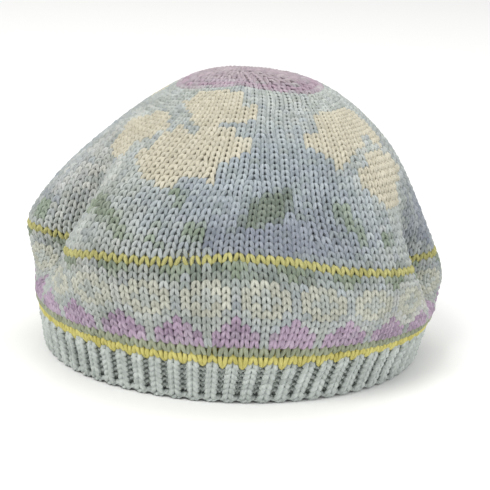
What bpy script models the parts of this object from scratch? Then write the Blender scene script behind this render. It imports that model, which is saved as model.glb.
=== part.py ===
"""A knitted beret with a ribbed head band, standing on the edge of its band.

The hat is one soft wall. Its outside follows one surface, wall_point, which is worked out
from a table of sections round the head and a table of the folds that the cloth has
fallen into. The photo's side of the hat faces -Y. Sizes are in metres and +Z is up.
"""

import math

import bpy
from mathutils import Vector

MM = 0.001

# The hat as it stands. The widths are half of the whole, out from its middle.
HAT_HEIGHT = 131 * MM
HALF_WIDTH = 97 * MM
HALF_DEPTH = 100 * MM
BAND_HEIGHT = 21.5 * MM

# The knitted wall. A rib stands out of the band by RIB_RELIEF, on both of its faces.
KNIT_WALL = 3.5 * MM
BAND_WALL = 5.0 * MM
RIB_RELIEF = 1.3 * MM
RIBS = 68

# The gap between the band and the body, so that the two solids don't touch.
SEAM_GAP = 0.3 * MM

# How finely each piece is divided. The body's rows are drawn towards its foot and its top
# by ROWS_DRAWN. Its columns stand closer together at a fold deeper than DEEP_FOLD, by
# CROWDING, over CROWDED_WIDTHS times the fold's own width.
BODY_COLUMNS = 96
BODY_ROWS = 22
ROWS_DRAWN = 0.045
DEEP_FOLD = 0.10
CROWDING = 2.0
CROWDED_WIDTHS = 2.2
SMALL_STEP = 0.002
POINTS_PER_RIB = 4
OUTER_STRIPS = 2
INNER_STRIPS = 2

# The colours are linear red, green and blue.
PIECE_COLOURS = {
    "rib_band": (0.33, 0.36, 0.34),
    "crown": (0.28, 0.31, 0.31),
}
WOOL_ROUGHNESS = 0.95

# One row for each section, from the edge to the crown. "at" is the share of the way up
# the wall, and the band's top is the row BAND_ROW. "rise" is a share of HAT_HEIGHT, and
# each droop is how far the soft side hangs below it. left and right are shares of
# HALF_WIDTH, front and back of HALF_DEPTH.
SECTIONS = (
    # at, rise, droop left, droop right, left, right, front, back
    (0.00, 0.000, 0.000, 0.000, 0.895, 0.900, 0.885, 0.885),
    (0.07, 0.100, 0.000, 0.010, 0.915, 0.930, 0.925, 0.920),
    (0.12, 0.164, 0.008, 0.022, 0.936, 0.960, 0.953, 0.940),
    (0.23, 0.320, 0.050, 0.080, 0.960, 1.000, 1.005, 0.985),
    (0.31, 0.430, 0.085, 0.120, 0.970, 0.990, 1.015, 1.005),
    (0.38, 0.530, 0.095, 0.145, 0.975, 0.955, 0.970, 0.990),
    (0.47, 0.640, 0.060, 0.115, 0.865, 0.885, 0.860, 0.900),
    (0.60, 0.775, 0.020, 0.040, 0.630, 0.735, 0.680, 0.710),
    (0.73, 0.890, 0.000, 0.000, 0.400, 0.520, 0.450, 0.490),
    (0.85, 0.965, 0.000, 0.000, 0.220, 0.325, 0.260, 0.290),
    (1.00, 1.000, 0.000, 0.000, 0.000, 0.000, 0.000, 0.000),
)
BAND_ROW = 2
BAND_SHARE, BAND_RISE = SECTIONS[BAND_ROW][:2]

# One row for each fold or swelling. Its angle, in degrees from the hat's right, goes from
# "foot" to "head" as it climbs. "depth" is a share of the reach there, inwards if minus.
FOLDS = (
    # foot, head, half width, depth, from share, to share
    (198.0, 212.0, 11.0, -0.210, 0.16, 0.66),
    (176.0, 186.0, 12.0, 0.020, 0.20, 0.55),
    (-13.0, -22.0, 8.5, -0.150, 0.16, 0.56),
    (4.0, 0.0, 12.0, 0.020, 0.16, 0.50),
    (62.0, 50.0, 13.0, -0.060, 0.18, 0.70),
    (108.0, 120.0, 15.0, -0.075, 0.17, 0.75),
    (146.0, 138.0, 12.0, -0.055, 0.18, 0.60),
    (252.0, 240.0, 16.0, -0.012, 0.20, 0.80),
    (300.0, 296.0, 14.0, -0.012, 0.20, 0.70),
)


def ease(share):
    """Goes from 0 to 1 with no corner at either end."""
    share = min(max(share, 0.0), 1.0)
    return share * share * (3 - 2 * share)


def slope_at(row, column):
    """How fast a column of the section table changes at one of its rows."""
    before = SECTIONS[max(row - 1, 0)]
    after = SECTIONS[min(row + 1, len(SECTIONS) - 1)]
    here = SECTIONS[row]
    if row in (0, len(SECTIONS) - 1):
        return (after[column] - before[column]) / (after[0] - before[0])
    low = (here[column] - before[column]) / (here[0] - before[0])
    high = (after[column] - here[column]) / (after[0] - here[0])
    step_low = here[0] - before[0]
    step_high = after[0] - here[0]
    return (low * step_high + high * step_low) / (step_low + step_high)


def section_at(share):
    """The section table read smoothly between its rows."""
    row = 0
    while row < len(SECTIONS) - 2 and share > SECTIONS[row + 1][0]:
        row += 1
    low, high = SECTIONS[row], SECTIONS[row + 1]
    step = high[0] - low[0]
    s = (share - low[0]) / step
    values = []
    for column in range(1, len(low)):
        value = (2 * s**3 - 3 * s**2 + 1) * low[column]
        value += (s**3 - 2 * s**2 + s) * step * slope_at(row, column)
        value += (3 * s**2 - 2 * s**3) * high[column]
        value += (s**3 - s**2) * step * slope_at(row + 1, column)
        values.append(value)
    return values


def fold_factor(angle, share):
    """How the folds push the wall in or out at one place, as a factor on its reach."""
    factor = 1.0
    for foot, head, half_width, depth, start, end in FOLDS:
        climbed = (share - start) / (end - start)
        centre = foot + (head - foot) * ease(climbed)
        away = (math.degrees(angle) - centre + 180) % 360 - 180
        grown = ease(climbed / 0.35) * (1 - ease(2 * climbed - 1))
        factor += depth * math.exp(-((away / half_width) ** 2)) * grown
    return factor


def height_at(rise):
    """The height for a share of the rise: the band keeps its own height in the whole."""
    if rise < BAND_RISE:
        return BAND_HEIGHT * rise / BAND_RISE
    body_rise = (rise - BAND_RISE) / (1 - BAND_RISE)
    return BAND_HEIGHT + (HAT_HEIGHT - BAND_HEIGHT) * body_rise


def wall_point(angle, share):
    """The outside of the wall, by angle round the head and share of the way up."""
    rise, droop_left, droop_right, left, right, front, back = section_at(share)
    across, along = math.cos(angle), math.sin(angle)
    half_x = HALF_WIDTH * (right if across > 0 else left)
    half_y = HALF_DEPTH * (back if along > 0 else front)
    reach = 1 / math.hypot(across / max(half_x, 1e-6), along / max(half_y, 1e-6))
    reach *= fold_factor(angle, share)
    droop = (droop_right if across > 0 else droop_left) * abs(across) ** 1.5
    height = height_at(rise) - droop * HAT_HEIGHT
    return Vector((reach * across, reach * along, height))


def way_up(angle, share):
    """The way up along the wall at one place on it."""
    low = max(share - SMALL_STEP, 0.0)
    return (wall_point(angle, share + SMALL_STEP) - wall_point(angle, low)).normalized()


def way_out(angle, share):
    """The way straight out of the wall at one place on it."""
    ahead = wall_point(angle + SMALL_STEP, share)
    behind = wall_point(angle - SMALL_STEP, share)
    return (ahead - behind).cross(way_up(angle, share)).normalized()


def even_angles(count):
    return [2 * math.pi * i / count for i in range(count)]


def crowding(angle):
    """How closely the body's columns stand at an angle, against elsewhere."""
    closeness = 1.0
    for foot, head, half_width, depth, _start, _end in FOLDS:
        if abs(depth) < DEEP_FOLD:
            continue
        away = (math.degrees(angle) - (foot + head) / 2 + 180) % 360 - 180
        closeness += CROWDING * math.exp(-((away / (half_width * CROWDED_WIDTHS)) ** 2))
    return closeness


def body_angles():
    """The angles of the body's columns, with as much crowding between each two."""
    fine = even_angles(BODY_COLUMNS * 40)
    whole = sum(crowding(angle) for angle in fine)
    angles = []
    passed = 0.0
    for angle in fine:
        if passed >= whole * len(angles) / BODY_COLUMNS:
            angles.append(angle)
        passed += crowding(angle)
    return angles


def strip(lower, upper, count):
    """The faces between two rings of points, given the number of each ring's first point."""
    faces = []
    for i in range(count):
        j = (i + 1) % count
        faces.append((lower + i, lower + j, upper + j, upper + i))
    return faces


def fan(ring, tip, count):
    """The faces that close a ring of points onto one point."""
    return [(ring + i, ring + (i + 1) % count, tip) for i in range(count)]


def wool(name):
    """The piece's plain material: matt wool in its main colour."""
    material = bpy.data.materials.new(name)
    material.use_nodes = True
    shader = material.node_tree.nodes["Principled BSDF"]
    shader.inputs["Base Color"].default_value = (*PIECE_COLOURS[name], 1.0)
    shader.inputs["Roughness"].default_value = WOOL_ROUGHNESS
    shader.inputs["Metallic"].default_value = 0.0
    return material


def add_piece(name, points, faces, collection):
    mesh = bpy.data.meshes.new(name)
    mesh.from_pydata(points, [], faces)
    mesh.materials.append(wool(name))
    mesh.shade_smooth()
    piece = bpy.data.objects.new(name, mesh)
    collection.objects.link(piece)
    return piece


def rib_height(index):
    """1 on the two points of a rib's top and 0 on the two points of the hollow beside it."""
    return 1.0 if index % POINTS_PER_RIB < POINTS_PER_RIB // 2 else 0.0


def band_ring(share, face):
    """One ring of the band's outer or inner face, with the ribs of that face."""
    ring = []
    for index, angle in enumerate(even_angles(RIBS * POINTS_PER_RIB)):
        point = wall_point(angle, share)
        depth = RIB_RELIEF * (1 - rib_height(index))
        if face == "inner":
            depth = BAND_WALL - RIB_RELIEF * rib_height(index)
        inwards = -way_out(angle, share)
        if share < BAND_SHARE:
            inwards = Vector((inwards.x, inwards.y, 0)).normalized()
        ring.append(point + inwards * depth)
    return ring


def make_rib_band(collection):
    """The head band: a closed ring of one by one rib, ribbed on both faces, flat below."""
    count = RIBS * POINTS_PER_RIB
    rings = []
    for level in range(OUTER_STRIPS + 1):
        rings.append(band_ring(BAND_SHARE * level / OUTER_STRIPS, "outer"))
    for level in range(INNER_STRIPS, -1, -1):
        rings.append(band_ring(BAND_SHARE * level / INNER_STRIPS, "inner"))
    points = [point for ring in rings for point in ring]
    faces = []
    for level in range(len(rings)):
        faces += strip(level * count, (level + 1) % len(rings) * count, count)
    return add_piece("rib_band", points, faces, collection)


def body_shares():
    """The levels of the body's rings, closer together where the wall turns."""
    shares = []
    for row in range(BODY_ROWS):
        even = row / BODY_ROWS
        drawn = even - ROWS_DRAWN * math.sin(2 * math.pi * even)
        shares.append(BAND_SHARE + (1 - BAND_SHARE) * drawn)
    return shares


def make_crown(collection):
    """The knitted body of the hat, from the band up to the gathered top."""
    angles = body_angles()
    points = []
    for share in body_shares():
        points += [wall_point(angle, share) for angle in angles]
    for point, angle in zip(points, angles):
        point += way_up(angle, BAND_SHARE) * SEAM_GAP
    points.append(wall_point(0.0, 1.0))
    faces = []
    for row in range(BODY_ROWS - 1):
        here = row * BODY_COLUMNS
        faces += strip(here, here + BODY_COLUMNS, BODY_COLUMNS)
    faces += fan((BODY_ROWS - 1) * BODY_COLUMNS, len(points) - 1, BODY_COLUMNS)
    crown = add_piece("crown", points, faces, collection)
    wall = crown.modifiers.new("wall", "SOLIDIFY")
    wall.thickness = KNIT_WALL
    wall.offset = -1.0
    wall.use_even_offset = False
    wall.use_quality_normals = True
    return crown


def centre_over_origin(pieces):
    """Places the pieces so that the origin lies below the middle of the whole hat."""
    points = [vertex.co for piece in pieces for vertex in piece.data.vertices]
    for axis in (0, 1):
        low = min(point[axis] for point in points)
        high = max(point[axis] for point in points)
        for piece in pieces:
            piece.location[axis] = -(low + high) / 2


def main():
    for thing in list(bpy.data.objects):
        bpy.data.objects.remove(thing)
    collection = bpy.data.collections.new("knit_beret")
    bpy.context.scene.collection.children.link(collection)
    centre_over_origin([make_rib_band(collection), make_crown(collection)])


main()
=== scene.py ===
"""Dresses the knitted beret: every stitch is a loop of yarn on the hat's own form.

The form is the surface that the plain solid wall follows, by an angle round the head and a
share of the way up the wall. The knitting is laid out on it in stitches and courses, with
one closed tube of yarn for each course. The hat is worked from the crown down, so the
stitches hang with their heads at the bottom and show as upturned Vs. The chart of colours
is worked out stitch by stitch from short tables of petals, leaves and rounds.
Sizes are in metres and +Z is up. The photo's side of the hat faces -Y.
"""

import math

import bpy
import numpy as np
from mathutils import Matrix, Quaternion, Vector


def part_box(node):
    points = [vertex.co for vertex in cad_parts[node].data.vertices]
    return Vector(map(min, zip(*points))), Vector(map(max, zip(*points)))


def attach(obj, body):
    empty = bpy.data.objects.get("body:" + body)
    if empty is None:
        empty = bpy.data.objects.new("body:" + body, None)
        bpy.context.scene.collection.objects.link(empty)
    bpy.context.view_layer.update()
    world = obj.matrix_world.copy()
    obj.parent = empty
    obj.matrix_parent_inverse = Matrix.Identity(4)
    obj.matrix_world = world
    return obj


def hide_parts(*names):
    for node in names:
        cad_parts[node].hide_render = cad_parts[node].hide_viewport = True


MM = 0.001
SEED = 11

# The hat's form, as in the solids
HAT_HEIGHT = 131 * MM
HALF_WIDTH = 97 * MM
HALF_DEPTH = 100 * MM
BAND_HEIGHT = 21.5 * MM
KNIT_WALL = 3.5 * MM
BAND_WALL = 5.0 * MM

# One row for each section, from the edge to the crown. "at" is the share of the way up
# the wall, and the band's top is the row BAND_ROW. "rise" is a share of HAT_HEIGHT, and
# each droop is how far the soft side hangs below it. left and right are shares of
# HALF_WIDTH, front and back of HALF_DEPTH.
SECTIONS = np.array((
    # at, rise, droop left, droop right, left, right, front, back
    (0.00, 0.000, 0.000, 0.000, 0.895, 0.900, 0.885, 0.885),
    (0.07, 0.100, 0.000, 0.010, 0.915, 0.930, 0.925, 0.920),
    (0.12, 0.164, 0.008, 0.022, 0.936, 0.960, 0.953, 0.940),
    (0.23, 0.320, 0.050, 0.080, 0.960, 1.000, 1.005, 0.985),
    (0.31, 0.430, 0.085, 0.120, 0.970, 0.990, 1.015, 1.005),
    (0.38, 0.530, 0.095, 0.145, 0.975, 0.955, 0.970, 0.990),
    (0.47, 0.640, 0.060, 0.115, 0.865, 0.885, 0.860, 0.900),
    (0.60, 0.775, 0.020, 0.040, 0.630, 0.735, 0.680, 0.710),
    (0.73, 0.890, 0.000, 0.000, 0.400, 0.520, 0.450, 0.490),
    (0.85, 0.965, 0.000, 0.000, 0.220, 0.325, 0.260, 0.290),
    (1.00, 1.000, 0.000, 0.000, 0.000, 0.000, 0.000, 0.000),
))
BAND_ROW = 2
BAND_SHARE, BAND_RISE = SECTIONS[BAND_ROW][:2]

# How strongly the droop is drawn to the far left and right. The wall thins from the band's
# to the body's from THINS_FROM on and over THINS_OVER, both in shares of the band.
DROOP_POWER = 1.5
THINS_FROM = 0.75
THINS_OVER = 0.5

# One row for each fold or swelling. Its angle, in degrees from the hat's right, goes from
# "foot" to "head" as it climbs. "depth" is a share of the reach there, inwards if minus. A
# fold is whole after FOLD_GROWN of its climb and fades again from half way up.
FOLDS = (
    # foot, head, half width, depth, from share, to share
    (198.0, 212.0, 11.0, -0.210, 0.16, 0.66),
    (176.0, 186.0, 12.0, 0.020, 0.20, 0.55),
    (-13.0, -22.0, 8.5, -0.150, 0.16, 0.56),
    (4.0, 0.0, 12.0, 0.020, 0.16, 0.50),
    (62.0, 50.0, 13.0, -0.060, 0.18, 0.70),
    (108.0, 120.0, 15.0, -0.075, 0.17, 0.75),
    (146.0, 138.0, 12.0, -0.055, 0.18, 0.60),
    (252.0, 240.0, 16.0, -0.012, 0.20, 0.80),
    (300.0, 296.0, 14.0, -0.012, 0.20, 0.70),
)
FOLD_GROWN = 0.35

# How the form is measured: the steps for slopes and for lengths, and the limits that keep
# them off the crown's very middle
SMALL_STEP = 0.002
ROUND_POINTS = 721
RISE_POINTS = 401
NEAR_TOP = 0.9999
SMALLEST_REACH = 1e-6
SMALLEST_LENGTH = 1e-12

# The knitting. A turn is a share of the way round, counted from the middle of the front.
# The tables count columns, which are COLUMNS to a turn, to the right of the same middle.
# Courses are counted up from the foot of the band, and from the foot of the body.
FRONT = -math.pi / 2
COLUMNS = 144

# The band and its edge. The body starts with the band's stitches, for PLAIN_COURSES.
BAND_STITCHES = 136
BAND_COURSES = 7
EDGE_CHAIN = 1.9 * MM
PLAIN_COURSES = 2

# The patterned border takes BORDER_RISE of the body's rise. The body would have BODY_COURSES
# up to its very middle, of which KNIT_COURSES are there and the rest is drawn shut.
BORDER_STITCHES = 144
BORDER_COURSES = 14
BORDER_RISE = 0.292
BODY_COURSES = 56
KNIT_COURSES = 55

# The body is shaped in WEDGES equal wedges. From the border's last course on, a wedge has
# one stitch fewer wherever the round is too short for its stitches. They are drawn together
# towards the crown: STITCHES has their widths in mm, by course.
WEDGES = 8
STITCHES = ((14, 4.5), (28, 4.3), (34, 3.8), (40, 3.0), (46, 2.7), (55, 3.2))

# How evenly the shaping is spread: the pull along a course against the pull of its columns
EVENNESS = 0.5
SETTLING_ROUNDS = 60

# Where in its wedge a round is shaped, in shares of the wedge: how far that place moves on
# from course to course and from wedge to wedge, so that the shaping doesn't line up
LINE_STEP = 0.618
WEDGE_STEP = 0.382

# How the soft knitting has settled: how many courses it hangs lower, by column, at the
# border's top and in the crown. The courses are where each bend grows from nothing, is
# whole and is gone again.
BORDER_BEND = (
    (-72, 0.6), (-40, 0.8), (-19, 1.2), (-15, 0.8), (-9, 0.9), (-5, 0.7), (-2, 0.3), (0, 0.0),
    (6, 0.0), (8.5, 0.4), (11.5, 0.8), (18, 1.1), (34, 1.2), (50, 0.8), (72, 0.6),
)
BORDER_BEND_COURSES = (0, 13.5, 30)
CROWN_BEND = ((-72, 4.2), (-24, 4.2), (-12, 2.0), (0, 0.0), (12, 2.0), (24, 4.2), (72, 4.2))
CROWN_BEND_COURSES = (30, 47, 55.5)

# COLUMN_DRIFT is how far each column has moved round by the crown's top, in columns, most of
# it high up. They also sway by up to SWAY of a column, in SWAY_WAVES waves round that wind
# with the courses, whole after SWAY_GROWN of the climb. The spreads are where some columns
# hang closer together and some wider apart.
COLUMN_DRIFT = ((-72, 4.0), (-30, 3.0), (0, 10.0), (20, 15.5), (45, 10.0), (72, 4.0))
DRIFT_POWER = 1.5
SWAY = 0.3
SWAY_WAVES = 3
SWAY_COURSES = 8
SWAY_GROWN = 0.25
BORDER_SPREAD = (
    (-72, 0), (-26, -0.6), (-16, -0.9), (-10, -0.1), (3, 0.25), (9, 0.6), (16, 0.3), (26, 0),
    (72, 0),
)
BORDER_SPREAD_COURSES = (0, 6, 20)
BODY_SPREAD = (
    (-72, 0), (-26, 0), (-14, -1.3), (-3, 0.2), (9, -0.8), (19, 0.5), (30, 0), (72, 0),
)
BODY_SPREAD_COURSES = (4, 14, 34)

# How far the border's foot hangs over the band, as a share of the band's height, by column.
# The border's first HEM_COURSES are stretched for it.
HEM = ((-72, 0.10), (8, 0.12), (14, 0.05), (24, 0.05), (32, 0.10), (72, 0.10))
HEM_COURSES = 3

# How far the rib leans: how many columns its foot lies further left, by column
BAND_LEAN = ((-72, 0.0), (-4, 0.0), (3, 0.6), (10, 1.0), (22, 1.0), (40, 0.0), (72, 0.0))

# How far the stitches are evened out round the hat and up it, from 0, not at all, to 1.
# Both are worked out once, in a grid of LEVELS by TURNS and one of RISE_TURNS by RISE_STEPS,
# and read no closer than SHORT_OF_END to a grid's length.
EVEN_ROUND = 0.6
EVEN_RISE = 0.3
LEVELS = 112
TOP_LEVEL = 0.999
TURNS = 1440
RISE_TURNS = 360
RISE_STEPS = 96
SHORT_OF_END = 1.001

# The yarn's loop, in shares of a stitch's width and of a course's height. LOOP_DEPTH is
# how far its legs stand before its middle, and its head and foot behind it. THICKNESS is
# the yarn's share of YARN by course: it's stretched thinner where the hat is widest, and
# where the crown is drawn together. Its legs are fuller by LEG_SWELL. A loop has STEPS along
# the yarn and SIDES round it.
YARN = 1.9 * MM
THICKNESS = ((0, 1.02), (6, 1.0), (12, 0.94), (24, 0.94), (34, 0.98), (42, 0.9), (55, 0.85))
LOOP_BULGE = 0.19
LOOP_HEIGHT = 0.78
LOOP_DEPTH = 0.92 * MM
LEG_SWELL = 0.08
STEPS = 12
SIDES = 6

# The rib: how far a knit column stands out and a purl one in, by how much of a stitch the
# knit one is wider at each side and its yarn fuller, and how sharply the two change. Both
# flatten out between the two courses RIB_FADES.
RIB_STANDS = 1.0 * MM
PURL_SINKS = 1.8 * MM
RIB_WIDENS = 0.14
RIB_SWELL = 0.26
RIB_SHARPNESS = 2.2
RIB_FADES = (5.9, 7.1)

# The body's last heads hang lower and stand further out over the rib's purl columns, and
# bulge less to their sides
BUMP_DROP = 0.35
BUMP_STANDS = 1.3 * MM
BUMP_NARROWS = 0.8

# The cast-off edge: two strands that twist once for each stitch, out with the rib's knit
# columns and up by CHAIN_LIFT under its purl ones. It lies at the course EDGE_COURSE.
EDGE_COURSE = -0.1
CHAIN_YARN = 1.7 * MM
CHAIN_REACH = 0.55 * MM
CHAIN_LIFT = 0.9 * MM

# The strands carried behind the stitches are drawn as one thin layer. FLOAT_DEPTH is how
# far it lies behind the rib, and FLOAT_DEPTHS how many mm behind the body's middle, by
# course. It comes in front of the middle where the stitches are close. The body's layer has
# FLOAT_PLACES round the hat and a row for every FLOAT_COURSES courses, in their wools, up to
# FLOAT_TOP of its climb. The band's has BAND_FLOAT_PLACES for each stitch, and four rows.
FLOAT_DEPTH = 0.9 * MM
FLOAT_DEPTHS = ((0, 0.9), (24, 0.9), (36, 0.1), (56, -0.3))
FLOAT_LAYER = 0.5 * MM
FLOAT_PLACES = 90
FLOAT_COURSES = 2
FLOAT_TOP = 0.995
BAND_FLOAT_COURSES = (-0.5, 3.0, RIB_FADES[0], BAND_COURSES)
BAND_FLOAT_PLACES = 4

# How uneven the hand knitting is: shares of a stitch's width, of its height and of the
# yarn, and how far it stands out. No draw goes past DRAW_LIMIT times the usual.
UNEVEN_WIDTH = 0.10
UNEVEN_HEIGHT = 0.07
UNEVEN_YARN = 0.07
UNEVEN_DEPTH = 0.16 * MM
DRAW_LIMIT = 2

# The wools, with a light and a dark tint of each as it shows on a screen. The last number
# is how far its stitches fade into the field, which is the sky wool with its tones and its
# painted shade. They fade by FADE_ALWAYS of that, by FADE_AT_EDGE where a motif doesn't
# cover them, and by chance. A stitch is a motif's if it covers COVER_TAKEN of it.
WOOLS = (
    # name, light, dark, fade
    ("sky", (188, 193, 189), (150, 155, 150), 0.0),
    ("haze", (182, 169, 175), (150, 138, 144), 0.3),
    ("cream", (203, 198, 180), (178, 173, 155), 0.1),
    ("oat", (200, 201, 188), (159, 160, 148), 0.35),
    ("pearl", (188, 193, 187), (149, 154, 149), 0.35),
    ("yellow", (214, 206, 131), (178, 170, 96), 0.0),
    ("straw", (191, 187, 128), (154, 150, 95), 0.0),
    ("olive", (166, 172, 149), (126, 132, 108), 0.2),
    ("sage", (152, 161, 145), (112, 122, 105), 0.5),
    ("fern", (154, 165, 150), (113, 124, 108), 0.8),
    ("moss", (130, 138, 127), (90, 99, 88), 0.4),
    ("lilac", (190, 170, 189), (136, 119, 137), 0.35),
    ("pink", (181, 161, 174), (147, 129, 141), 0.5),
    ("rib", (201, 207, 203), (162, 169, 165), 0.0),
)
FADE_ALWAYS = 0.15
FADE_AT_EDGE = 2.2
FADE_NOISE = 0.25
COVER_TAKEN = 0.4
WOOL_NUMBER = {row[0]: i for i, row in enumerate(WOOLS)}
RIB_WOOL = WOOL_NUMBER["rib"]

# The border, from the band up: six stitches of each course, as often as it goes round. An
# f is the field.
BORDER = (
    "YYYYYY",
    "OOOOOO",
    "PPPfPP",
    "PPPfPP",
    "PPfffP",
    "Pfffff",
    "ffCCCf",
    "fCCcCC",
    "fCcccC",
    "fCCcCC",
    "ffCCCf",
    "Gfffff",
    "GGfffG",
    "SSSSSS",
)
LETTERS = {
    "Y": "yellow", "S": "straw", "O": "olive", "G": "sage", "P": "lilac", "C": "oat",
    "c": "pearl",
}

# The flowers and leaves as outlines, in columns and courses above the band
FLOWER = (
    (-15.6, 40.1), (-15.3, 42.5), (-13.2, 44.1), (-5.3, 45.3), (-3.6, 44.3), (-1.8, 44.9),
    (2.5, 45.6), (1.2, 42.6), (0.6, 39.6), (2.6, 41), (5.8, 41.4), (4.4, 37.5), (-3.2, 37.1),
    (-3.8, 35.2), (-0.2, 35.8), (0.1, 33.7), (0.9, 32.4), (2.1, 34.3), (1.9, 32.2), (1, 30.4),
    (-2, 29.1), (-2.1, 26), (-2.6, 23.7), (-3.3, 25), (-5.1, 26.3), (-7.6, 25.9), (-7.7, 24.6),
    (-9.5, 23.1), (-10.5, 24.3), (-11.6, 24.3), (-13.1, 25.1), (-14.3, 27.3), (-16.5, 28.5),
    (-16.7, 29.8), (-15, 29.5), (-14.7, 32.4), (-12.6, 34.6), (-11.8, 35.4), (-10.1, 34),
    (-8.3, 33.8), (-6.7, 34.8), (-8.5, 36), (-10.7, 36.8), (-11.6, 38.5),
)
PETAL = (
    (-23.8, 26.3), (-26.1, 30.6), (-27.4, 33.5), (-23.9, 35), (-21.8, 36.8), (-17.9, 37.2),
    (-15.1, 35.6), (-14.7, 34.3), (-16, 32.2), (-18.7, 31.3), (-19.3, 29.2), (-21.2, 27.4),
)
LOW_LEAF = (
    (-19.5, 18.1), (-21, 19.2), (-19.6, 21.3), (-18.2, 22.2), (-16.4, 21.2), (-14.9, 19.9),
    (-13.4, 18.7), (-12.2, 17.4), (-10.9, 15.9), (-11, 15), (-12.6, 15), (-13.6, 16),
    (-14.2, 17.2), (-14.8, 17.8), (-16.6, 17.7),
)
LOW_BUD = ((-9.9, 18.7), (-8.5, 18.7), (-8.1, 17.3), (-9.6, 16.6))
HIGH_BUD = ((-8.2, 24.2), (-6.2, 24.4), (-5.7, 22.4), (-6, 20), (-7.3, 20.8))
LOW_STEMS = ((-9.6, 16.5), (-8.1, 16.7), (-7.1, 14.6), (-8.9, 14.4))
LOW_SPRIG = ((-5.4, 18.6), (-3.2, 18.7), (-2.7, 15), (-4.9, 14.8))
HIGH_LEAF = (
    (0.5, 19), (1.1, 17.8), (2.5, 18.1), (4.3, 19.2), (6.2, 19.6), (7.1, 23.7), (6.9, 24.7),
    (5.1, 24.5), (4, 23.7), (2.4, 22.7), (1.6, 21.3), (1.1, 19.8),
)
SIDE_FLOWER = (
    (18.1, 38.3), (22.8, 37.9), (26.4, 38.3), (32, 37.5), (33, 32.5), (30.3, 30.2),
    (28.6, 30.7), (28.1, 32.2), (26.5, 33.1), (25.3, 31.3), (23.4, 30.7), (20.4, 30.4),
    (18.1, 29), (15.3, 27.8), (15, 29.1), (15.7, 30.6), (14.2, 30.9), (13.7, 32.1),
    (11.5, 32.2), (12.4, 34.2), (16.5, 34.7), (17.8, 36.4), (16, 36.8),
)
SIDE_PETAL = (
    (23.4, 29.7), (27.9, 29.9), (31.3, 28.2), (32.4, 26.3), (29.5, 25.6), (26.6, 23.8),
    (27.2, 22.2), (24.9, 20.9), (22.5, 21.4), (20.6, 23.2), (19.1, 23.9), (19.6, 25.1),
    (18.9, 26.2), (20, 27.7), (21.9, 28.3),
)
SIDE_LEAF = (
    (12.7, 23.3), (14.1, 23.3), (14.9, 22.2), (15.3, 21.3), (16, 19.1), (16.4, 16.9),
    (15.7, 15.7), (14.3, 18.1), (13.5, 18.7), (12.9, 19.6), (12.4, 21.8),
)
SIDE_STEM = ((18.8, 18.2), (21, 18.2), (20.4, 16), (18.8, 16))
EDGE_LEAF = ((-34.5, 14.5), (-34, 17), (-32, 18), (-31, 15), (-32, 14))
MOTIFS = (
    # outline, wool, columns by which it is moved on
    (FLOWER, "cream", (0, 72, 101)),
    (PETAL, "cream", (0, 72, 101)),
    (LOW_LEAF, "sage", (0, 72, 108)),
    (LOW_BUD, "fern", (0, 72, 108)),
    (HIGH_BUD, "fern", (0, 72, 108)),
    (LOW_STEMS, "fern", (0, 72, 108)),
    (LOW_SPRIG, "fern", (0, 72, 108)),
    (HIGH_LEAF, "moss", (0, 72)),
    (EDGE_LEAF, "fern", (0,)),
    (SIDE_FLOWER, "cream", (0,)),
    (SIDE_PETAL, "cream", (0,)),
    (SIDE_LEAF, "fern", (0,)),
    (SIDE_STEM, "fern", (0,)),
)

# Where a stitch is tested against an outline: columns to its side, and courses up or down
TEST_PLACES = (-0.33, 0.0, 0.33)

# The crown's pink ring starts at PINK_FROM and its hazy middle at HAZE_FROM. The ring's
# first and last courses fade as if it covered RING_EDGE_COVER of them.
PINK_FROM = 47
HAZE_FROM = 50
RING_EDGE_COVER = 0.75

# The field's colour changes softly. Each tone has its light and dark tints, and the patches
# where it shows have their middles and half sizes in columns and courses. The blue tone is
# the wool's own and the misty one makes patches lighter. The dusky one is partly the wool's
# own and partly painted shade, and the green-grey one is painted shade under the straw
# course and on the far left.
TONES_AND_SHADE = {
    "mist": ((208, 208, 201), (170, 171, 164)),
    "blue": ((173, 181, 186), (136, 145, 151)),
    # The dusky tone: partly the wool's own, partly painted shade
    "dusk_and_shade": ((149, 154, 164), (113, 119, 130)),
    # Painted shade in a green-grey
    "painted_shade": ((142, 151, 141), (101, 110, 100)),
}
PATCHES = (
    # tone, column, course, half width, half height, strength
    ("mist", -31, 26, 9, 10, 1.2),
    ("mist", 23, 6, 9, 5, 1.1),
    ("mist", -35, 7, 5, 5, 0.4),
    ("mist", -15, 11.5, 5, 2, 0.6),
    ("mist", -10, 8, 5, 4, 0.5),
    ("blue", 6, 7, 12, 4, 0.3),
    ("blue", 4, 28, 12, 10, 1.0),
    ("blue", -5, 20, 7, 6, 0.6),
    ("blue", 12, 20, 7, 9, 0.9),
    # The dusky tone in the middle of the front: partly the wool's own, partly painted shade
    ("dusk_and_shade", 4, 16.5, 9, 4, 1.2),
    ("dusk_and_shade", 12, 20, 5, 5, 0.25),
    # Painted shade darkening the right side
    ("dusk_and_shade", 34, 18, 5, 7, 1.0),
    # Painted shade under the straw course, and on the far left
    ("painted_shade", -1, 11.8, 10, 1.6, 0.9),
    ("painted_shade", 14, 12.5, 8, 1.5, 0.5),
    ("painted_shade", -33, 15, 4, 3, 0.25),
    # Round the back: blue tones, and the dusky one, which is partly painted shade
    ("blue", 66, 26, 20, 14, 0.9),
    ("dusk_and_shade", 60, 17, 12, 5, 0.7),
    ("blue", 100, 26, 14, 12, 0.9),
    ("dusk_and_shade", 98, 17, 12, 5, 0.7),
)
TONE_NOISE = 0.15

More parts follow.
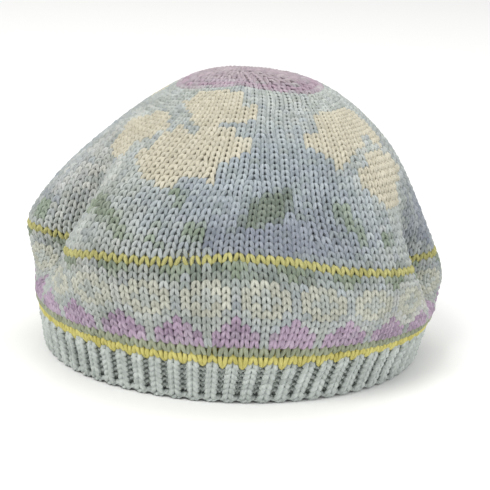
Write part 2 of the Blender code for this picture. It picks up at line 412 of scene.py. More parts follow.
# The wool's surface. Each yarn has PLIES, which twist TWISTS times in a stitch and stand
# out by PLY_BUMP, with fibres on them. The contrasts are how far the fibres, a slow drift
# and each stitch's own tint take its colour between its dark and light tints.
WOOL_SURFACE = {
    "Roughness": 0.9, "Specular IOR Level": 0.2, "Sheen Weight": 0.25, "Sheen Roughness": 0.5,
}
PLIES = 3
TWISTS = 3
PLY_BUMP = 0.16 * MM
BUMP_STRENGTH = 0.7
FIBRE_HEIGHT = 1.4
FIBRE_SCALE = (8.0, 7.0, 1.0)
FIBRE_NOISE = {"Scale": 1.0, "Detail": 3.0, "Roughness": 0.6}
FIBRE_CONTRAST = 2.4
DRIFT_NOISE = {"Scale": 55.0, "Detail": 2.0}
DRIFT_CONTRAST = 1.0
TINT_CONTRAST = 0.16

# A Mix node's sockets for a share and two colours, and for the colour that comes out
MIX_INPUTS = (0, 6, 7)
MIX_OUTPUT = 2

# A stitch's cell in the flat map of its piece: its length to its height, and its margin
CELL_LENGTH = 42
CELL_HEIGHT = 18
CELL_MARGIN = 0.06

# The body's pieces and their first courses
PIECES = (
    ("border_low", 0), ("border_high", 9), ("body_low", 18), ("body_high", 28), ("crown_top", 39),
)

# The camera stands where the photo's did. Its tilts are in degrees, lens and sensor in mm.
ELEVATION = 14.5
DISTANCE = 850 * MM
ROLL = 2.4
LENS = 133.6
SENSOR = 36
AIM = (4.3 * MM, 1.05 * MM, 47.3 * MM)

# Soft studio light, brightest from the upper left and the front, and a pale floor
LIGHTS = (
    # name, place, size, watts, colour
    ("key", (-0.7, -0.9, 1.5), 0.9, 16.0, (1.0, 0.99, 0.97)),
    ("fill", (1.2, -0.9, 0.7), 1.2, 5.5, (0.97, 0.98, 1.0)),
    ("top", (0.1, 0.5, 1.6), 1.4, 8.0, (1.0, 1.0, 1.0)),
)
WORLD_LIGHT = 0.75
FLOOR_HALF = 6.0
FLOOR_COLOUR = (244, 244, 243)
FLOOR_SURFACE = {"Roughness": 0.95, "Specular IOR Level": 0.1}


def ease(share):
    """Goes from 0 to 1 with no corner at either end."""
    share = np.clip(share, 0.0, 1.0)
    return share * share * (3 - 2 * share)


def read(table, place):
    """A table's value at a place, on a straight line between its rows."""
    return np.interp(place, *np.transpose(table))


def section_slopes():
    """How fast each column of the section table changes at each of its rows."""
    steps = np.diff(SECTIONS[:, :1], axis=0)
    rates = np.diff(SECTIONS[:, 1:], axis=0) / steps
    inner = (rates[:-1] * steps[1:] + rates[1:] * steps[:-1]) / (steps[:-1] + steps[1:])
    return np.vstack((rates[:1], inner, rates[-1:]))


SLOPES = section_slopes()


def section_at(share):
    """The section table read smoothly between its rows."""
    at = SECTIONS[:, 0]
    row = np.clip(np.searchsorted(at, share) - 1, 0, len(at) - 2)
    step = (at[row + 1] - at[row])[..., None]
    past = (share - at[row])[..., None] / step
    value = (2 * past**3 - 3 * past**2 + 1) * SECTIONS[row, 1:]
    value += (past**3 - 2 * past**2 + past) * step * SLOPES[row]
    value += (3 * past**2 - 2 * past**3) * SECTIONS[row + 1, 1:]
    value += (past**3 - past**2) * step * SLOPES[row + 1]
    return np.moveaxis(value, -1, 0)


def fold_factor(angle, share):
    """How the folds push the wall in or out, as a factor on its reach."""
    factor = 1.0
    for foot, head, half_width, depth, start, end in FOLDS:
        climbed = (share - start) / (end - start)
        centre = foot + (head - foot) * ease(climbed)
        away = (np.degrees(angle) - centre + 180) % 360 - 180
        grown = ease(climbed / FOLD_GROWN) * (1 - ease(2 * climbed - 1))
        factor = factor + depth * np.exp(-((away / half_width) ** 2)) * grown
    return factor


def height_at(rise):
    """The height for a share of the rise: the band keeps its own height in the whole."""
    body_rise = (rise - BAND_RISE) / (1 - BAND_RISE)
    body = BAND_HEIGHT + (HAT_HEIGHT - BAND_HEIGHT) * body_rise
    return np.where(rise < BAND_RISE, BAND_HEIGHT * rise / BAND_RISE, body)


def wall(angle, share):
    """The outside of the wall, by angle round the head and share of the way up."""
    angle, share = np.broadcast_arrays(angle, share)
    rise, droop_left, droop_right, left, right, front, back = section_at(share)
    across, along = np.cos(angle), np.sin(angle)
    half_x = HALF_WIDTH * np.where(across > 0, right, left)
    half_y = HALF_DEPTH * np.where(along > 0, back, front)
    half_x = np.maximum(half_x, SMALLEST_REACH)
    half_y = np.maximum(half_y, SMALLEST_REACH)
    reach = fold_factor(angle, share) / np.hypot(across / half_x, along / half_y)
    droop = np.where(across > 0, droop_right, droop_left) * np.abs(across) ** DROOP_POWER
    height = height_at(rise) - droop * HAT_HEIGHT
    return np.stack((reach * across, reach * along, height), -1)


def unit(vectors):
    """The same ways, each one long."""
    lengths = np.linalg.norm(vectors, axis=-1, keepdims=True)
    return vectors / np.maximum(lengths, SMALLEST_LENGTH)


def way_out(angle, share):
    """The way straight out of the wall."""
    low = np.maximum(share - SMALL_STEP, 0.0)
    high = np.minimum(share + SMALL_STEP, NEAR_TOP)
    round_it = wall(angle + SMALL_STEP, share) - wall(angle - SMALL_STEP, share)
    return unit(np.cross(round_it, wall(angle, high) - wall(angle, low)))


def running_share(points, evenness):
    """Running totals along each last line of points, from 0 to 1, by length and by count."""
    lengths = np.linalg.norm(np.diff(points, axis=-2), axis=-1)
    steps = evenness * lengths / lengths.mean(-1, keepdims=True) + (1 - evenness)
    total = np.cumsum(steps, axis=-1)
    total = np.concatenate((np.zeros_like(total[..., :1]), total), axis=-1)
    return total / total[..., -1:]


def read_grid(table, row, column):
    """Reads a grid between its entries, at places counted in entries."""
    row = np.clip(row, 0, table.shape[0] - SHORT_OF_END)
    column = np.clip(column, 0, table.shape[1] - SHORT_OF_END)
    below, left = row.astype(int), column.astype(int)
    over, along = row - below, column - left
    low = table[below, left] * (1 - along) + table[below, left + 1] * along
    high = table[below + 1, left] * (1 - along) + table[below + 1, left + 1] * along
    return low * (1 - over) + high * over


def round_table():
    """For each level and each turn, the share of the angle round that the turn reaches."""
    level = np.linspace(0, TOP_LEVEL, LEVELS)
    turn = np.linspace(0, 1, TURNS + 1)
    angle, share = np.meshgrid(FRONT + 2 * math.pi * turn, level)
    reached = running_share(wall(angle, share), EVEN_ROUND)
    return np.array([np.interp(turn, row, turn) for row in reached])


ROUND = round_table()


def angle_at(turn, share):
    """The angle of a turn at a share of the way up."""
    whole = np.floor(turn)
    level = share / TOP_LEVEL * (LEVELS - 1)
    return FRONT + 2 * math.pi * (read_grid(ROUND, level, (turn - whole) * TURNS) + whole)


def rise_table():
    """For each turn and each level, the share of the body's rise that the level reaches."""
    risen = np.linspace(0, 1, RISE_STEPS + 1)
    turn = np.linspace(0, 1, RISE_TURNS + 1)
    turn, share = np.meshgrid(turn, BAND_SHARE + (1 - BAND_SHARE) * risen, indexing="ij")
    reached = running_share(wall(angle_at(turn, share), share), EVEN_RISE)
    return np.array([np.interp(risen, row, risen) for row in reached])


RISE = rise_table()


def nearest(column):
    """A distance in columns, counted the shorter way round."""
    return (column + COLUMNS / 2) % COLUMNS - COLUMNS / 2


def column_at(turn):
    """The column of a turn, to the right of the middle of the front or to its left."""
    return nearest(turn * COLUMNS)


def hem(turn):
    """How much of the wall's share the border hangs over the band."""
    return BAND_SHARE * read(HEM, column_at(turn))


def band_place(turn, course):
    """The angle and the share of a place in the band, with courses counted from its edge."""
    foot = BAND_SHARE * EDGE_CHAIN / BAND_HEIGHT
    share = foot + (BAND_SHARE - hem(turn) - foot) * course / BAND_COURSES
    share = np.maximum(share, 0.0)
    lean = read(BAND_LEAN, column_at(turn)) / COLUMNS
    return angle_at(turn - lean * (1 - course / BAND_COURSES), share), share


def settled_by(turn, course, table, courses):
    """A table's value by column, grown and gone again over its three courses."""
    start, whole, end = courses
    grown = ease((course - start) / (whole - start)) * ease((end - course) / (end - whole))
    return read(table, column_at(turn)) * grown


def bend(turn, course):
    """How many courses the knitting hangs lower at a place in the body."""
    lower = settled_by(turn, course, BORDER_BEND, BORDER_BEND_COURSES)
    return lower + settled_by(turn, course, CROWN_BEND, CROWN_BEND_COURSES)


def body_place(turn, course):
    """The angle and the share of a place in the body, with courses counted from the band."""
    course = course - bend(turn, course)
    above = (course - BORDER_COURSES) / (BODY_COURSES - BORDER_COURSES)
    risen = np.where(
        above < 0, BORDER_RISE * course / BORDER_COURSES, BORDER_RISE + (1 - BORDER_RISE) * above
    )
    across = (turn - np.floor(turn)) * (RISE.shape[0] - 1)
    share = read_grid(RISE, across, np.clip(risen, 0, 1) * RISE_STEPS)
    share = BAND_SHARE * (1 + np.minimum(course, 0) / BAND_COURSES) + (1 - BAND_SHARE) * share
    share = share - hem(turn) * (1 - ease(course / HEM_COURSES))
    return angle_at(turn, share), share


def middle_depth(share):
    """How deep the middle of the knitting lies below the outside of the wall."""
    band = 1 - ease((share / BAND_SHARE - THINS_FROM) / THINS_OVER)
    return (KNIT_WALL + (BAND_WALL - KNIT_WALL) * band) / 2


def form_shift():
    """How far the form moves to stand where the solid crown stands."""
    low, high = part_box("crown")
    angle = np.linspace(0, 2 * math.pi, ROUND_POINTS)
    share = np.linspace(BAND_SHARE, 1, RISE_POINTS)
    points = wall(*np.meshgrid(angle, share)).reshape(-1, 3)
    shift = (np.array(low + high) - points.min(0) - points.max(0)) / 2
    shift[2] = 0.0
    return shift


def on_wall(angle, share, out, shift):
    """Points that stand out of the middle of the knitting, and the way out at each."""
    outwards = way_out(angle, share)
    points = wall(angle, share) - outwards * (middle_depth(share) - out)[..., None] + shift
    return points, outwards


def stitch_width(course):
    """How wide a stitch of a course of the body is."""
    return read(STITCHES, course) * MM


def stitch_counts():
    """The stitches of one wedge in each course of the body."""
    angle = np.linspace(0, 2 * math.pi, ROUND_POINTS)
    counts = [BAND_STITCHES // WEDGES] * PLAIN_COURSES
    counts += [BORDER_STITCHES // WEDGES] * (BORDER_COURSES - 1 - PLAIN_COURSES)
    while len(counts) < KNIT_COURSES:
        _, share = body_place(np.zeros(1), np.array([len(counts) + 0.5]))
        length = np.linalg.norm(np.diff(wall(angle, share), axis=0), axis=-1).sum()
        fits = round(length / stitch_width(len(counts)) / WEDGES)
        counts.append(max(1, counts[-1] - 1, min(counts[-1], fits)))
    return counts


def beside(along, course, other, counts):
    """Where a place in one course comes in the next course above or below.

    Both places are counted in stitches. Where a wedge has one stitch more or fewer, the
    stitch at its shaping line opens into two or the two there run into one.
    """
    count = counts[course]
    wedge = np.floor(along / count)
    within = along - wedge * count
    line = (max(course, other) * LINE_STEP + wedge * WEDGE_STEP) % 1
    line = np.floor(line * min(count, counts[other]))
    if counts[other] > count:
        within = within + np.clip(within - line, 0, 1)
    if counts[other] < count:
        within = within - np.clip((within - line) / 2, 0, 1)
    return wedge * counts[other] + within


def turn_in(edges, along):
    """The turn of a place counted in stitches, from the turns of a course's edges."""
    at = np.floor(along).astype(int)
    turn = edges[at % len(edges)] + at // len(edges)
    ahead = edges[(at + 1) % len(edges)] + (at + 1) // len(edges)
    return turn + (along - at) * (ahead - turn)


def settled_edges(counts):
    """The turns of the stitches' edges in each course, with the shaping evened out.

    Each edge moves again and again to the middle of its neighbours, which are beside it
    in its own course and along its column above and below.
    """
    edges = [np.arange(count * WEDGES) / (count * WEDGES) for count in counts]
    for _ in range(SETTLING_ROUNDS):
        for course in range(1, len(counts)):
            below, above = course - 1, min(course + 1, len(counts) - 1)
            places = np.arange(len(edges[course]), dtype=float)
            even = turn_in(edges[course], places - 1) + turn_in(edges[course], places + 1)
            column = turn_in(edges[below], beside(places, course, below, counts))
            column = column + turn_in(edges[above], beside(places, course, above, counts))
            edges[course] = (EVENNESS * even + (1 - EVENNESS) * column) / 2
    return edges


def drift(turn, course):
    """How far the columns lean round the hat as they climb, as a share of a turn."""
    climbed = np.maximum(course - BORDER_COURSES, 0) / (BODY_COURSES - BORDER_COURSES)
    columns = read(COLUMN_DRIFT, column_at(turn)) * climbed**DRIFT_POWER
    wave = np.sin(2 * math.pi * SWAY_WAVES * turn + course / SWAY_COURSES)
    columns = columns + SWAY * wave * np.minimum(climbed / SWAY_GROWN, 1)
    columns = columns + settled_by(turn, course, BORDER_SPREAD, BORDER_SPREAD_COURSES)
    columns = columns + settled_by(turn, course, BODY_SPREAD, BODY_SPREAD_COURSES)
    return columns / COLUMNS


def body_turn(along, up, course, knitting):
    """The turn of a place in a course, counted in stitches, and up courses from its middle."""
    counts, edges = knitting
    below = max(course - 1, 0)
    above = min(course + 1, len(counts) - 1)
    turn = turn_in(edges[course], along)
    low = turn_in(edges[below], beside(along, course, below, counts))
    high = turn_in(edges[above], beside(along, course, above, counts))
    turn = turn + np.maximum(-up, 0) * (low - turn) + np.maximum(up, 0) * (high - turn)
    return turn + drift(turn, course + up)


def rib_side(along):
    """1 in a knit column of the rib, -1 in a purl one, with a quick change between them."""
    return np.clip(RIB_SHARPNESS * np.sin(math.pi * along), -1, 1)


def rib_out(side, out, course):
    """How far a strand of the rib stands out, by its column's side and by its own loops."""
    stands = np.where(side > 0, RIB_STANDS, PURL_SINKS)
    flat = ease((course - RIB_FADES[0]) / (RIB_FADES[1] - RIB_FADES[0]))
    return side * (out + stands) * (1 - flat) + (out - LOOP_DEPTH) * flat


def rib_place(along, course):
    """The angle and the share of a place in the rib, whose knit columns are the wider."""
    pair = np.floor(along / 2)
    widened = (-RIB_WIDENS, 1 + RIB_WIDENS, 2 - RIB_WIDENS)
    along = 2 * pair + np.interp(along - 2 * pair, (0, 1, 2), widened)
    return band_place(along / BAND_STITCHES, course)


def loop(stitches, rng):
    """One course of yarn: along, across, up, out and radius at each of its steps."""
    along = np.arange(stitches * STEPS) / STEPS
    phase = 2 * math.pi * (along - 0.5)
    hump = np.sin(math.pi * along) ** 2
    draws = rng.normal(size=(4, stitches)).clip(-DRAW_LIMIT, DRAW_LIMIT)
    wide, tall, thick, proud = np.repeat(draws, STEPS, axis=1) * hump
    across = LOOP_BULGE * np.sin(2 * phase) * (1 + UNEVEN_WIDTH * wide)
    up = -LOOP_HEIGHT * np.cos(phase) * (1 + UNEVEN_HEIGHT * tall)
    out = -LOOP_DEPTH * np.cos(2 * phase) + UNEVEN_DEPTH * proud
    radius = YARN / 2 * (1 - LEG_SWELL * np.cos(2 * phase)) * (1 + UNEVEN_YARN * thick)
    return along, across, up, out, radius


def strand(points, outwards, radius, yarn, rng, tones_and_shade=None):
    """A closed line of yarn, with the number of its wool and its marks for each stitch."""
    tint = rng.normal(size=len(yarn)).clip(-DRAW_LIMIT, DRAW_LIMIT)
    marks = {"tint": tint, **(tones_and_shade or {})}
    return {"points": points, "outwards": outwards, "radius": radius, "yarn": yarn, "marks": marks}


def band_strand(course, shift, rng):
    """One course of the rib."""
    along, across, up, out, radius = loop(BAND_STITCHES, rng)
    side = rib_side(along)
    up = course + 0.5 + up
    radius *= 1 + RIB_SWELL * np.maximum(side, 0)
    angle, share = rib_place(along + across, up)
    points, outwards = on_wall(angle, share, rib_out(side, out, up), shift)
    return strand(points, outwards, radius, np.full(BAND_STITCHES, RIB_WOOL), rng)


def edge_strand(side, shift, rng):
    """One of the two strands of the cast-off edge."""
    along = np.arange(BAND_STITCHES * STEPS) / STEPS
    phase = 2 * math.pi * along + math.pi * side
    knit = (1 + np.sin(math.pi * along)) / 2
    angle, share = rib_place(along, np.full(len(along), EDGE_COURSE))
    out = RIB_STANDS * knit + CHAIN_REACH * np.cos(phase)
    points, outwards = on_wall(angle, share, out, shift)
    points[:, 2] = CHAIN_YARN / 2 + CHAIN_REACH * (1 + np.sin(phase)) + CHAIN_LIFT * (1 - knit)
    radius = np.full(len(along), CHAIN_YARN / 2)
    return strand(points, outwards, radius, np.full(BAND_STITCHES, RIB_WOOL), rng)


def body_strand(course, knitting, shift, rng):
    """One course of the body, in the wools of the chart."""
    stitches = knitting[0][course] * WEDGES
    along, across, up, out, radius = loop(stitches, rng)
    radius *= read(THICKNESS, course)
    if course == 0:
        purl = np.maximum(-rib_side(along), 0)
        head = np.maximum(-up / LOOP_HEIGHT, 0) ** 2 * purl
        across *= 1 - BUMP_NARROWS * purl
        up -= BUMP_DROP * head
        out += BUMP_STANDS * head
    turn = body_turn(along + across, up, course, knitting)
    angle, share = body_place(turn, course + 0.5 + up)
    points, outwards = on_wall(angle, share, out, shift)
    number = np.arange(stitches)
    turn = body_turn(number + 0.5, np.zeros(stitches), course, knitting)
    yarn, cover = chart(turn, number, course)
    tones_and_shade = field_tones_and_shade(turn, course, rng)
    tones_and_shade["fade"] = fades(yarn, cover, rng)
    return strand(points, outwards, radius, yarn, rng, tones_and_shade)


def inside(outline, column, row):
    """Whether each place is inside an outline."""
    crossed = np.zeros(np.shape(column), bool)
    for (x0, y0), (x1, y1) in zip(outline, outline[1:] + outline[:1]):
        if y0 == y1:
            continue
        x = x0 + (x1 - x0) * (row - y0) / (y1 - y0)
        crossed ^= ((y0 > row) != (y1 > row)) & (column < x)
    return crossed


def covered(outline, column, row):
    """The share of each stitch that an outline covers."""
    places = [(x, y) for x in TEST_PLACES for y in TEST_PLACES]
    return np.mean([inside(outline, column + x, row + y) for x, y in places], axis=0)


def hat_row(turn, course):
    """The rows of a course's stitches on the hat, where the motifs are charted."""
    return course + 0.5 - bend(turn, course + 0.5)


def field_tones_and_shade(turn, course, rng):
    """How strongly each tone of the field, and each patch of painted shade, shows in each stitch.
    """
    tones_and_shade = {name: TONE_NOISE * rng.normal(size=len(turn)) for name in TONES_AND_SHADE}
    for name, column, row, half_width, half_height, strength in PATCHES:
        across = nearest(column_at(turn) - column)
        up = hat_row(turn, course) - row
        tones_and_shade[name] += strength * np.exp(-((across / half_width) ** 2) - (up / half_height) ** 2)
    return {name: tone.clip(0, 1) for name, tone in tones_and_shade.items()}


def fades(yarn, cover, rng):
    """How far each stitch fades into the field, by its wool and its motif's cover."""
    share = np.array([row[3] for row in WOOLS])[yarn]
    noise = FADE_NOISE * rng.normal(size=len(yarn))
    return (share * (FADE_ALWAYS + FADE_AT_EDGE * (1 - cover) + noise)).clip(0, 1)


def chart(turn, number, course):
    """The wool's number for each stitch of a course of the body, and its motif's cover."""
    wool = np.full(len(turn), WOOL_NUMBER["sky"])
    cover = np.ones(len(turn))
    if course < len(BORDER):
        pattern = BORDER[course]
        for letter, name in LETTERS.items():
            wool[[pattern[i % len(pattern)] == letter for i in number]] = WOOL_NUMBER[name]
    for outline, name, moves in MOTIFS:
        for moved in moves:
            across = nearest(column_at(turn) - moved)
            share = covered(outline, across, hat_row(turn, course))
            taken = share >= COVER_TAKEN
            wool[taken] = WOOL_NUMBER[name]
            cover[taken] = share[taken]
    if course >= PINK_FROM:
        wool[:] = WOOL_NUMBER["pink" if course < HAZE_FROM else "haze"]
        cover[:] = RING_EDGE_COVER if course in (PINK_FROM, HAZE_FROM - 1) else 1.0
    return wool, cover


def linear(colour):
    """A screen colour of three numbers up to 255 in linear light, by the sRGB curve."""
    parts = np.array(colour) / 255
    parts = np.where(parts <= 0.04045, parts / 12.92, ((parts + 0.055) / 1.055) ** 2.4)
    return (*parts.tolist(), 1.0)


def add_node(tree, kind, **values):
    """A shader node with its settings and its inputs' values."""
    node = tree.nodes.new(kind)
    for name, value in values.items():
        if name in node.inputs:
            node.inputs[name].default_value = value
        else:
            setattr(node, name, value)
    return node


def set_surface(shader, values):
    """Sets a shader's plain inputs."""
    for name, value in values.items():
        shader.inputs[name].default_value = value


def feed(tree, sockets, values):
    """Gives each socket its value, or links it where the value is another node's socket."""
    for socket, value in zip(sockets, values):
        if isinstance(value, bpy.types.NodeSocket):
            tree.links.new(value, socket)
        else:
            socket.default_value = value


def combine(tree, operation, first, second, third=0.0):
    """The result of one calculation with numbers or sockets."""
    node = add_node(tree, "ShaderNodeMath", operation=operation)
    feed(tree, node.inputs, (first, second, third))
    return node.outputs[0]


def blended(tree, share, first, second):
    """A mix of two colours, by the share of the second."""
    node = add_node(tree, "ShaderNodeMix", data_type="RGBA")
    sockets = [node.inputs[place] for place in MIX_INPUTS]
    feed(tree, sockets, (share, first, second))
    return node.outputs[MIX_OUTPUT]


def read_mark(tree, name):
    """The value of one of the marks that each stitch has."""
    return add_node(tree, "ShaderNodeAttribute", attribute_name=name).outputs["Fac"]


def field_colour(tree, mixed):
    """The field's colour, with its tones and its painted shade where they show."""
    _, light, dark, _ = WOOLS[WOOL_NUMBER["sky"]]
    colour = blended(tree, mixed, linear(dark), linear(light))
    for tone, (tone_light, tone_dark) in TONES_AND_SHADE.items():
        other = blended(tree, mixed, linear(tone_dark), linear(tone_light))
        colour = blended(tree, read_mark(tree, tone), colour, other)
    return colour


def wool_material(name, light, dark, fade):
    """Plied wool: twisted plies, loose fibres and a colour that drifts a little."""
    material = bpy.data.materials.new(f"wool_{name}")
    material.use_nodes = True
    tree = material.node_tree
    shader = tree.nodes["Principled BSDF"]
    set_surface(shader, WOOL_SURFACE)
    shader.inputs["Sheen Tint"].default_value = linear(light)

    yarn = add_node(tree, "ShaderNodeUVMap", uv_map="Yarn")
    stretch = add_node(tree, "ShaderNodeMapping", Scale=FIBRE_SCALE)
    fibres = add_node(tree, "ShaderNodeTexNoise", **FIBRE_NOISE)
    tree.links.new(yarn.outputs["UV"], stretch.inputs["Vector"])
    tree.links.new(stretch.outputs["Vector"], fibres.inputs["Vector"])
    place = add_node(tree, "ShaderNodeTexCoord")
    drift = add_node(tree, "ShaderNodeTexNoise", **DRIFT_NOISE)
    tree.links.new(place.outputs["Object"], drift.inputs["Vector"])

    contrast = (FIBRE_CONTRAST, -FIBRE_CONTRAST / 2)
    mixed = combine(tree, "MULTIPLY_ADD", fibres.outputs["Fac"], *contrast)
    mixed = combine(tree, "MULTIPLY_ADD", drift.outputs["Fac"], DRIFT_CONTRAST, mixed)
    mixed = combine(tree, "MULTIPLY_ADD", read_mark(tree, "tint"), TINT_CONTRAST, mixed)
    if name == "sky":
        colour = field_colour(tree, mixed)
    else:
        colour = blended(tree, mixed, linear(dark), linear(light))
    if fade:
        colour = blended(tree, read_mark(tree, "fade"), colour, field_colour(tree, mixed))
    tree.links.new(colour, shader.inputs["Base Color"])

    parts = add_node(tree, "ShaderNodeSeparateXYZ")
    tree.links.new(yarn.outputs["UV"], parts.inputs[0])
    turned = combine(tree, "MULTIPLY", parts.outputs["X"], 2 * math.pi * TWISTS)
    turned = combine(tree, "MULTIPLY_ADD", parts.outputs["Y"], 2 * math.pi * PLIES, turned)
    plies = combine(tree, "SINE", turned, 0.0)
    height = combine(tree, "MULTIPLY_ADD", fibres.outputs["Fac"], FIBRE_HEIGHT, plies)
    bump = add_node(tree, "ShaderNodeBump", Strength=BUMP_STRENGTH, Distance=PLY_BUMP)
    tree.links.new(height, bump.inputs["Height"])
    tree.links.new(bump.outputs["Normal"], shader.inputs["Normal"])
    return material


def mesh_object(name, points, quads, yarn, maps, node):
    """A smooth piece of quads, with a wool for each face and its UV maps."""
    mesh = bpy.data.meshes.new(name)
    mesh.vertices.add(len(points))
    mesh.vertices.foreach_set("co", points.astype(np.float32).ravel())
    mesh.loops.add(quads.size)
    mesh.loops.foreach_set("vertex_index", quads.astype(np.int32).ravel())
    mesh.polygons.add(len(quads))
    mesh.polygons.foreach_set("loop_start", np.arange(0, quads.size, 4, dtype=np.int32))
    mesh.update(calc_edges=True)
    used = np.unique(yarn)
    for number in used:
        mesh.materials.append(MATERIALS[number])
    mesh.polygons.foreach_set("material_index", np.searchsorted(used, yarn).astype(np.int32))
    mesh.polygons.foreach_set("use_smooth", np.ones(len(quads), bool))
    for map_name, corners in maps.items():
        layer = mesh.uv_layers.new(name=map_name)
        layer.data.foreach_set("uv", corners.astype(np.float32).ravel())
    piece = bpy.data.objects.new(name, mesh)
    bpy.context.scene.collection.objects.link(piece)
    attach(piece, "root")
    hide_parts(node)
    return piece


def tube(line):
    """The points round a strand, SIDES for each of its steps, from the back of the yarn."""
    centre = line["points"]
    ahead = unit(np.roll(centre, -1, axis=0) - np.roll(centre, 1, axis=0))
    side = unit(np.cross(ahead, line["outwards"]))
    up = np.cross(side, ahead)
    turn = math.pi + 2 * math.pi * np.arange(SIDES)[:, None] / SIDES
    ring = np.cos(turn) * up[:, None] + np.sin(turn) * side[:, None]
    return (centre[:, None] + ring * line["radius"][:, None, None]).reshape(-1, 3)


def yarn_piece(name, lines, node):
    """Several strands as one piece."""
    stitches = sum(len(line["yarn"]) for line in lines)
    row_length = math.ceil(math.sqrt(stitches * CELL_HEIGHT / CELL_LENGTH))
    rows = math.ceil(stitches / row_length)
    points, quads, yarn_map, bake_map = [], [], [], []
    done = 0
    for line in lines:
        steps = len(line["points"])
        step, side = np.meshgrid(np.arange(steps), np.arange(SIDES), indexing="ij")
        here, ahead = step * SIDES, (step + 1) % steps * SIDES
        over = (side + 1) % SIDES
        start = sum(map(len, points))
        quad = np.stack((here + side, here + over, ahead + over, ahead + side), -1)
        quads.append(start + quad.reshape(-1, 4))
        points.append(tube(line))
        along = np.stack((step, step, step + 1, step + 1), -1) / STEPS
        round_it = np.stack((side, side + 1, side + 1, side), -1) / SIDES
        yarn_map.append(np.stack((along, round_it), -1).reshape(-1, 2))
        number = step[..., None] // STEPS
        stitch = done + number
        u = (stitch % row_length + along - number) / row_length
        v = (stitch // row_length + CELL_MARGIN + (1 - 2 * CELL_MARGIN) * round_it) / rows
        bake_map.append(np.stack((u, v), -1).reshape(-1, 2))
        done += len(line["yarn"])
    yarn = np.concatenate([np.repeat(line["yarn"], STEPS * SIDES) for line in lines])
    maps = {"OFBake": np.concatenate(bake_map), "Yarn": np.concatenate(yarn_map)}
    piece = mesh_object(
        name, np.concatenate(points), np.concatenate(quads), yarn, maps, node
    )
    for mark in lines[0]["marks"]:
        values = np.concatenate([np.repeat(line["marks"][mark], STEPS * SIDES) for line in lines])
        attribute = piece.data.attributes.new(mark, "FLOAT", "POINT")
        attribute.data.foreach_set("value", values.astype(np.float32))
    return piece


def layer_piece(name, outer, inner, yarn, node):
    """A closed thin layer between two grids of points that go round the hat."""
    rows, columns = outer.shape[:2]
    grid = np.concatenate((outer, inner[::-1]))
    profile = 2 * rows
    row, column = np.meshgrid(np.arange(profile), np.arange(columns), indexing="ij")
    here, above = row * columns, (row + 1) % profile * columns
    over = (column + 1) % columns
    quad = (here + column, here + over, above + over, above + column)
    u = np.stack((column, column + 1, column + 1, column), -1) / columns
    v = np.stack((row, row, row + 1, row + 1), -1) / profile
    maps = {
        "OFBake": np.stack((u, v), -1).reshape(-1, 2),
        "Yarn": np.stack((v * rows, u * columns), -1).reshape(-1, 2),
    }
    wools = np.concatenate((yarn, yarn[-1:], yarn[::-1], yarn[:1])).ravel()
    quads = np.stack(quad, -1).reshape(-1, 4)
    return mesh_object(name, grid.reshape(-1, 3), quads, wools, maps, node)


def body_floats(shift):
    """The strands carried behind the body's stitches."""
    courses = range(0, KNIT_COURSES, FLOAT_COURSES)
    course = np.linspace(0, BODY_COURSES * FLOAT_TOP, len(courses) + 1)[:, None]
    turn = np.arange(FLOAT_PLACES)[None, :] / FLOAT_PLACES
    angle, share = body_place(*np.broadcast_arrays(turn, course))
    depth = read(FLOAT_DEPTHS, course) * MM + np.zeros(angle.shape)
    outer, _ = on_wall(angle, share, -depth, shift)
    inner, _ = on_wall(angle, share, -depth - FLOAT_LAYER, shift)
    middles = turn[0] + 0.5 / FLOAT_PLACES
    number = np.floor(middles * BORDER_STITCHES).astype(int)
    yarn = np.array([chart(middles, number, course)[0] for course in courses])
    return layer_piece("body_floats", outer, inner, yarn, "crown")


def band_floats(shift):
    """The yarn between the rib's columns, seen deep in its grooves."""
    course = np.array(BAND_FLOAT_COURSES)[:, None]
    along = np.arange(BAND_STITCHES * BAND_FLOAT_PLACES)[None, :] / BAND_FLOAT_PLACES
    course, along = np.broadcast_arrays(course, along)
    angle, share = rib_place(along, course)
    wave = rib_out(rib_side(along), np.zeros(along.shape), course) - FLOAT_DEPTH
    outer, _ = on_wall(angle, share, wave, shift)
    inner, _ = on_wall(angle, share, wave - FLOAT_LAYER, shift)
    yarn = np.full((len(course) - 1, along.shape[1]), RIB_WOOL)
    return layer_piece("band_floats", outer, inner, yarn, "rib_band")


def knit_hat(shift):
    """The whole hat, course by course from the edge up."""
    rng = np.random.default_rng(SEED)
    edge = [edge_strand(side, shift, rng) for side in (0, 1)]
    yarn_piece("rib_edge", edge, "rib_band")
    rib = [band_strand(course, shift, rng) for course in range(BAND_COURSES)]
    yarn_piece("rib_stitches", rib, "rib_band")
    band_floats(shift)
    counts = stitch_counts()
    knitting = (counts, settled_edges(counts))
    ends = [start for _, start in PIECES[1:]] + [KNIT_COURSES]
    for (name, start), end in zip(PIECES, ends):
        lines = [body_strand(course, knitting, shift, rng) for course in range(start, end)]
        yarn_piece(name, lines, "crown")
    body_floats(shift)


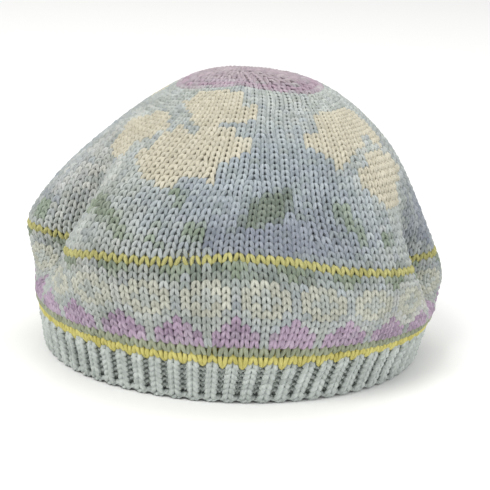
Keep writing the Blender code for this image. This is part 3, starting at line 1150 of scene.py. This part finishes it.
def add_camera():
    """The camera at the photo's angle, rolled as the photo is."""
    elevation = math.radians(ELEVATION)
    back = Vector((0, -math.cos(elevation), math.sin(elevation)))
    data = bpy.data.cameras.new("camera")
    data.lens = LENS
    data.sensor_width = SENSOR
    camera = bpy.data.objects.new("camera", data)
    camera.location = Vector(AIM) + back * DISTANCE
    camera.rotation_mode = "QUATERNION"
    turn = back.to_track_quat("Z", "Y")
    camera.rotation_quaternion = turn @ Quaternion((0, 0, 1), math.radians(ROLL))
    bpy.context.scene.collection.objects.link(camera)
    bpy.context.scene.camera = camera


def add_lights():
    """The lamps, and an even white light from all round."""
    for name, place, size, watts, colour in LIGHTS:
        data = bpy.data.lights.new(name, "AREA")
        data.shape = "DISK"
        data.size = size
        data.energy = watts
        data.color = colour
        light = bpy.data.objects.new(name, data)
        light.location = place
        aim = Vector(place) - Vector(AIM)
        light.rotation_euler = aim.to_track_quat("Z", "Y").to_euler()
        bpy.context.scene.collection.objects.link(light)
    world = bpy.data.worlds.new("studio")
    world.use_nodes = True
    background = world.node_tree.nodes["Background"]
    background.inputs["Color"].default_value = (1.0, 1.0, 1.0, 1.0)
    background.inputs["Strength"].default_value = WORLD_LIGHT
    bpy.context.scene.world = world


def add_floor():
    """The plain pale floor that the hat stands on."""
    mesh = bpy.data.meshes.new("floor")
    low, high = -FLOOR_HALF, FLOOR_HALF
    corners = [(low, low, 0), (high, low, 0), (high, high, 0), (low, high, 0)]
    mesh.from_pydata(corners, [], [(0, 1, 2, 3)])
    material = bpy.data.materials.new("floor")
    material.use_nodes = True
    shader = material.node_tree.nodes["Principled BSDF"]
    shader.inputs["Base Color"].default_value = linear(FLOOR_COLOUR)
    set_surface(shader, FLOOR_SURFACE)
    mesh.materials.append(material)
    floor = bpy.data.objects.new("floor", mesh)
    bpy.context.scene.collection.objects.link(floor)


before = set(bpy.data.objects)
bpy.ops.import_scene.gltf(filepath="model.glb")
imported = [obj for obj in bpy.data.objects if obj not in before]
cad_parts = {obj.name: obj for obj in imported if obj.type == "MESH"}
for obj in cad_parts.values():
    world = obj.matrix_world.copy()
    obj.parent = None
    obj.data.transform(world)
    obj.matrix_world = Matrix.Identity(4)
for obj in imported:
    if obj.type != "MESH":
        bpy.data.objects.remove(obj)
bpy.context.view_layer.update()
add_camera()
add_lights()
add_floor()
MATERIALS = [wool_material(*row) for row in WOOLS]
knit_hat(form_shift())
bpy.context.scene.view_settings.view_transform = "Standard"
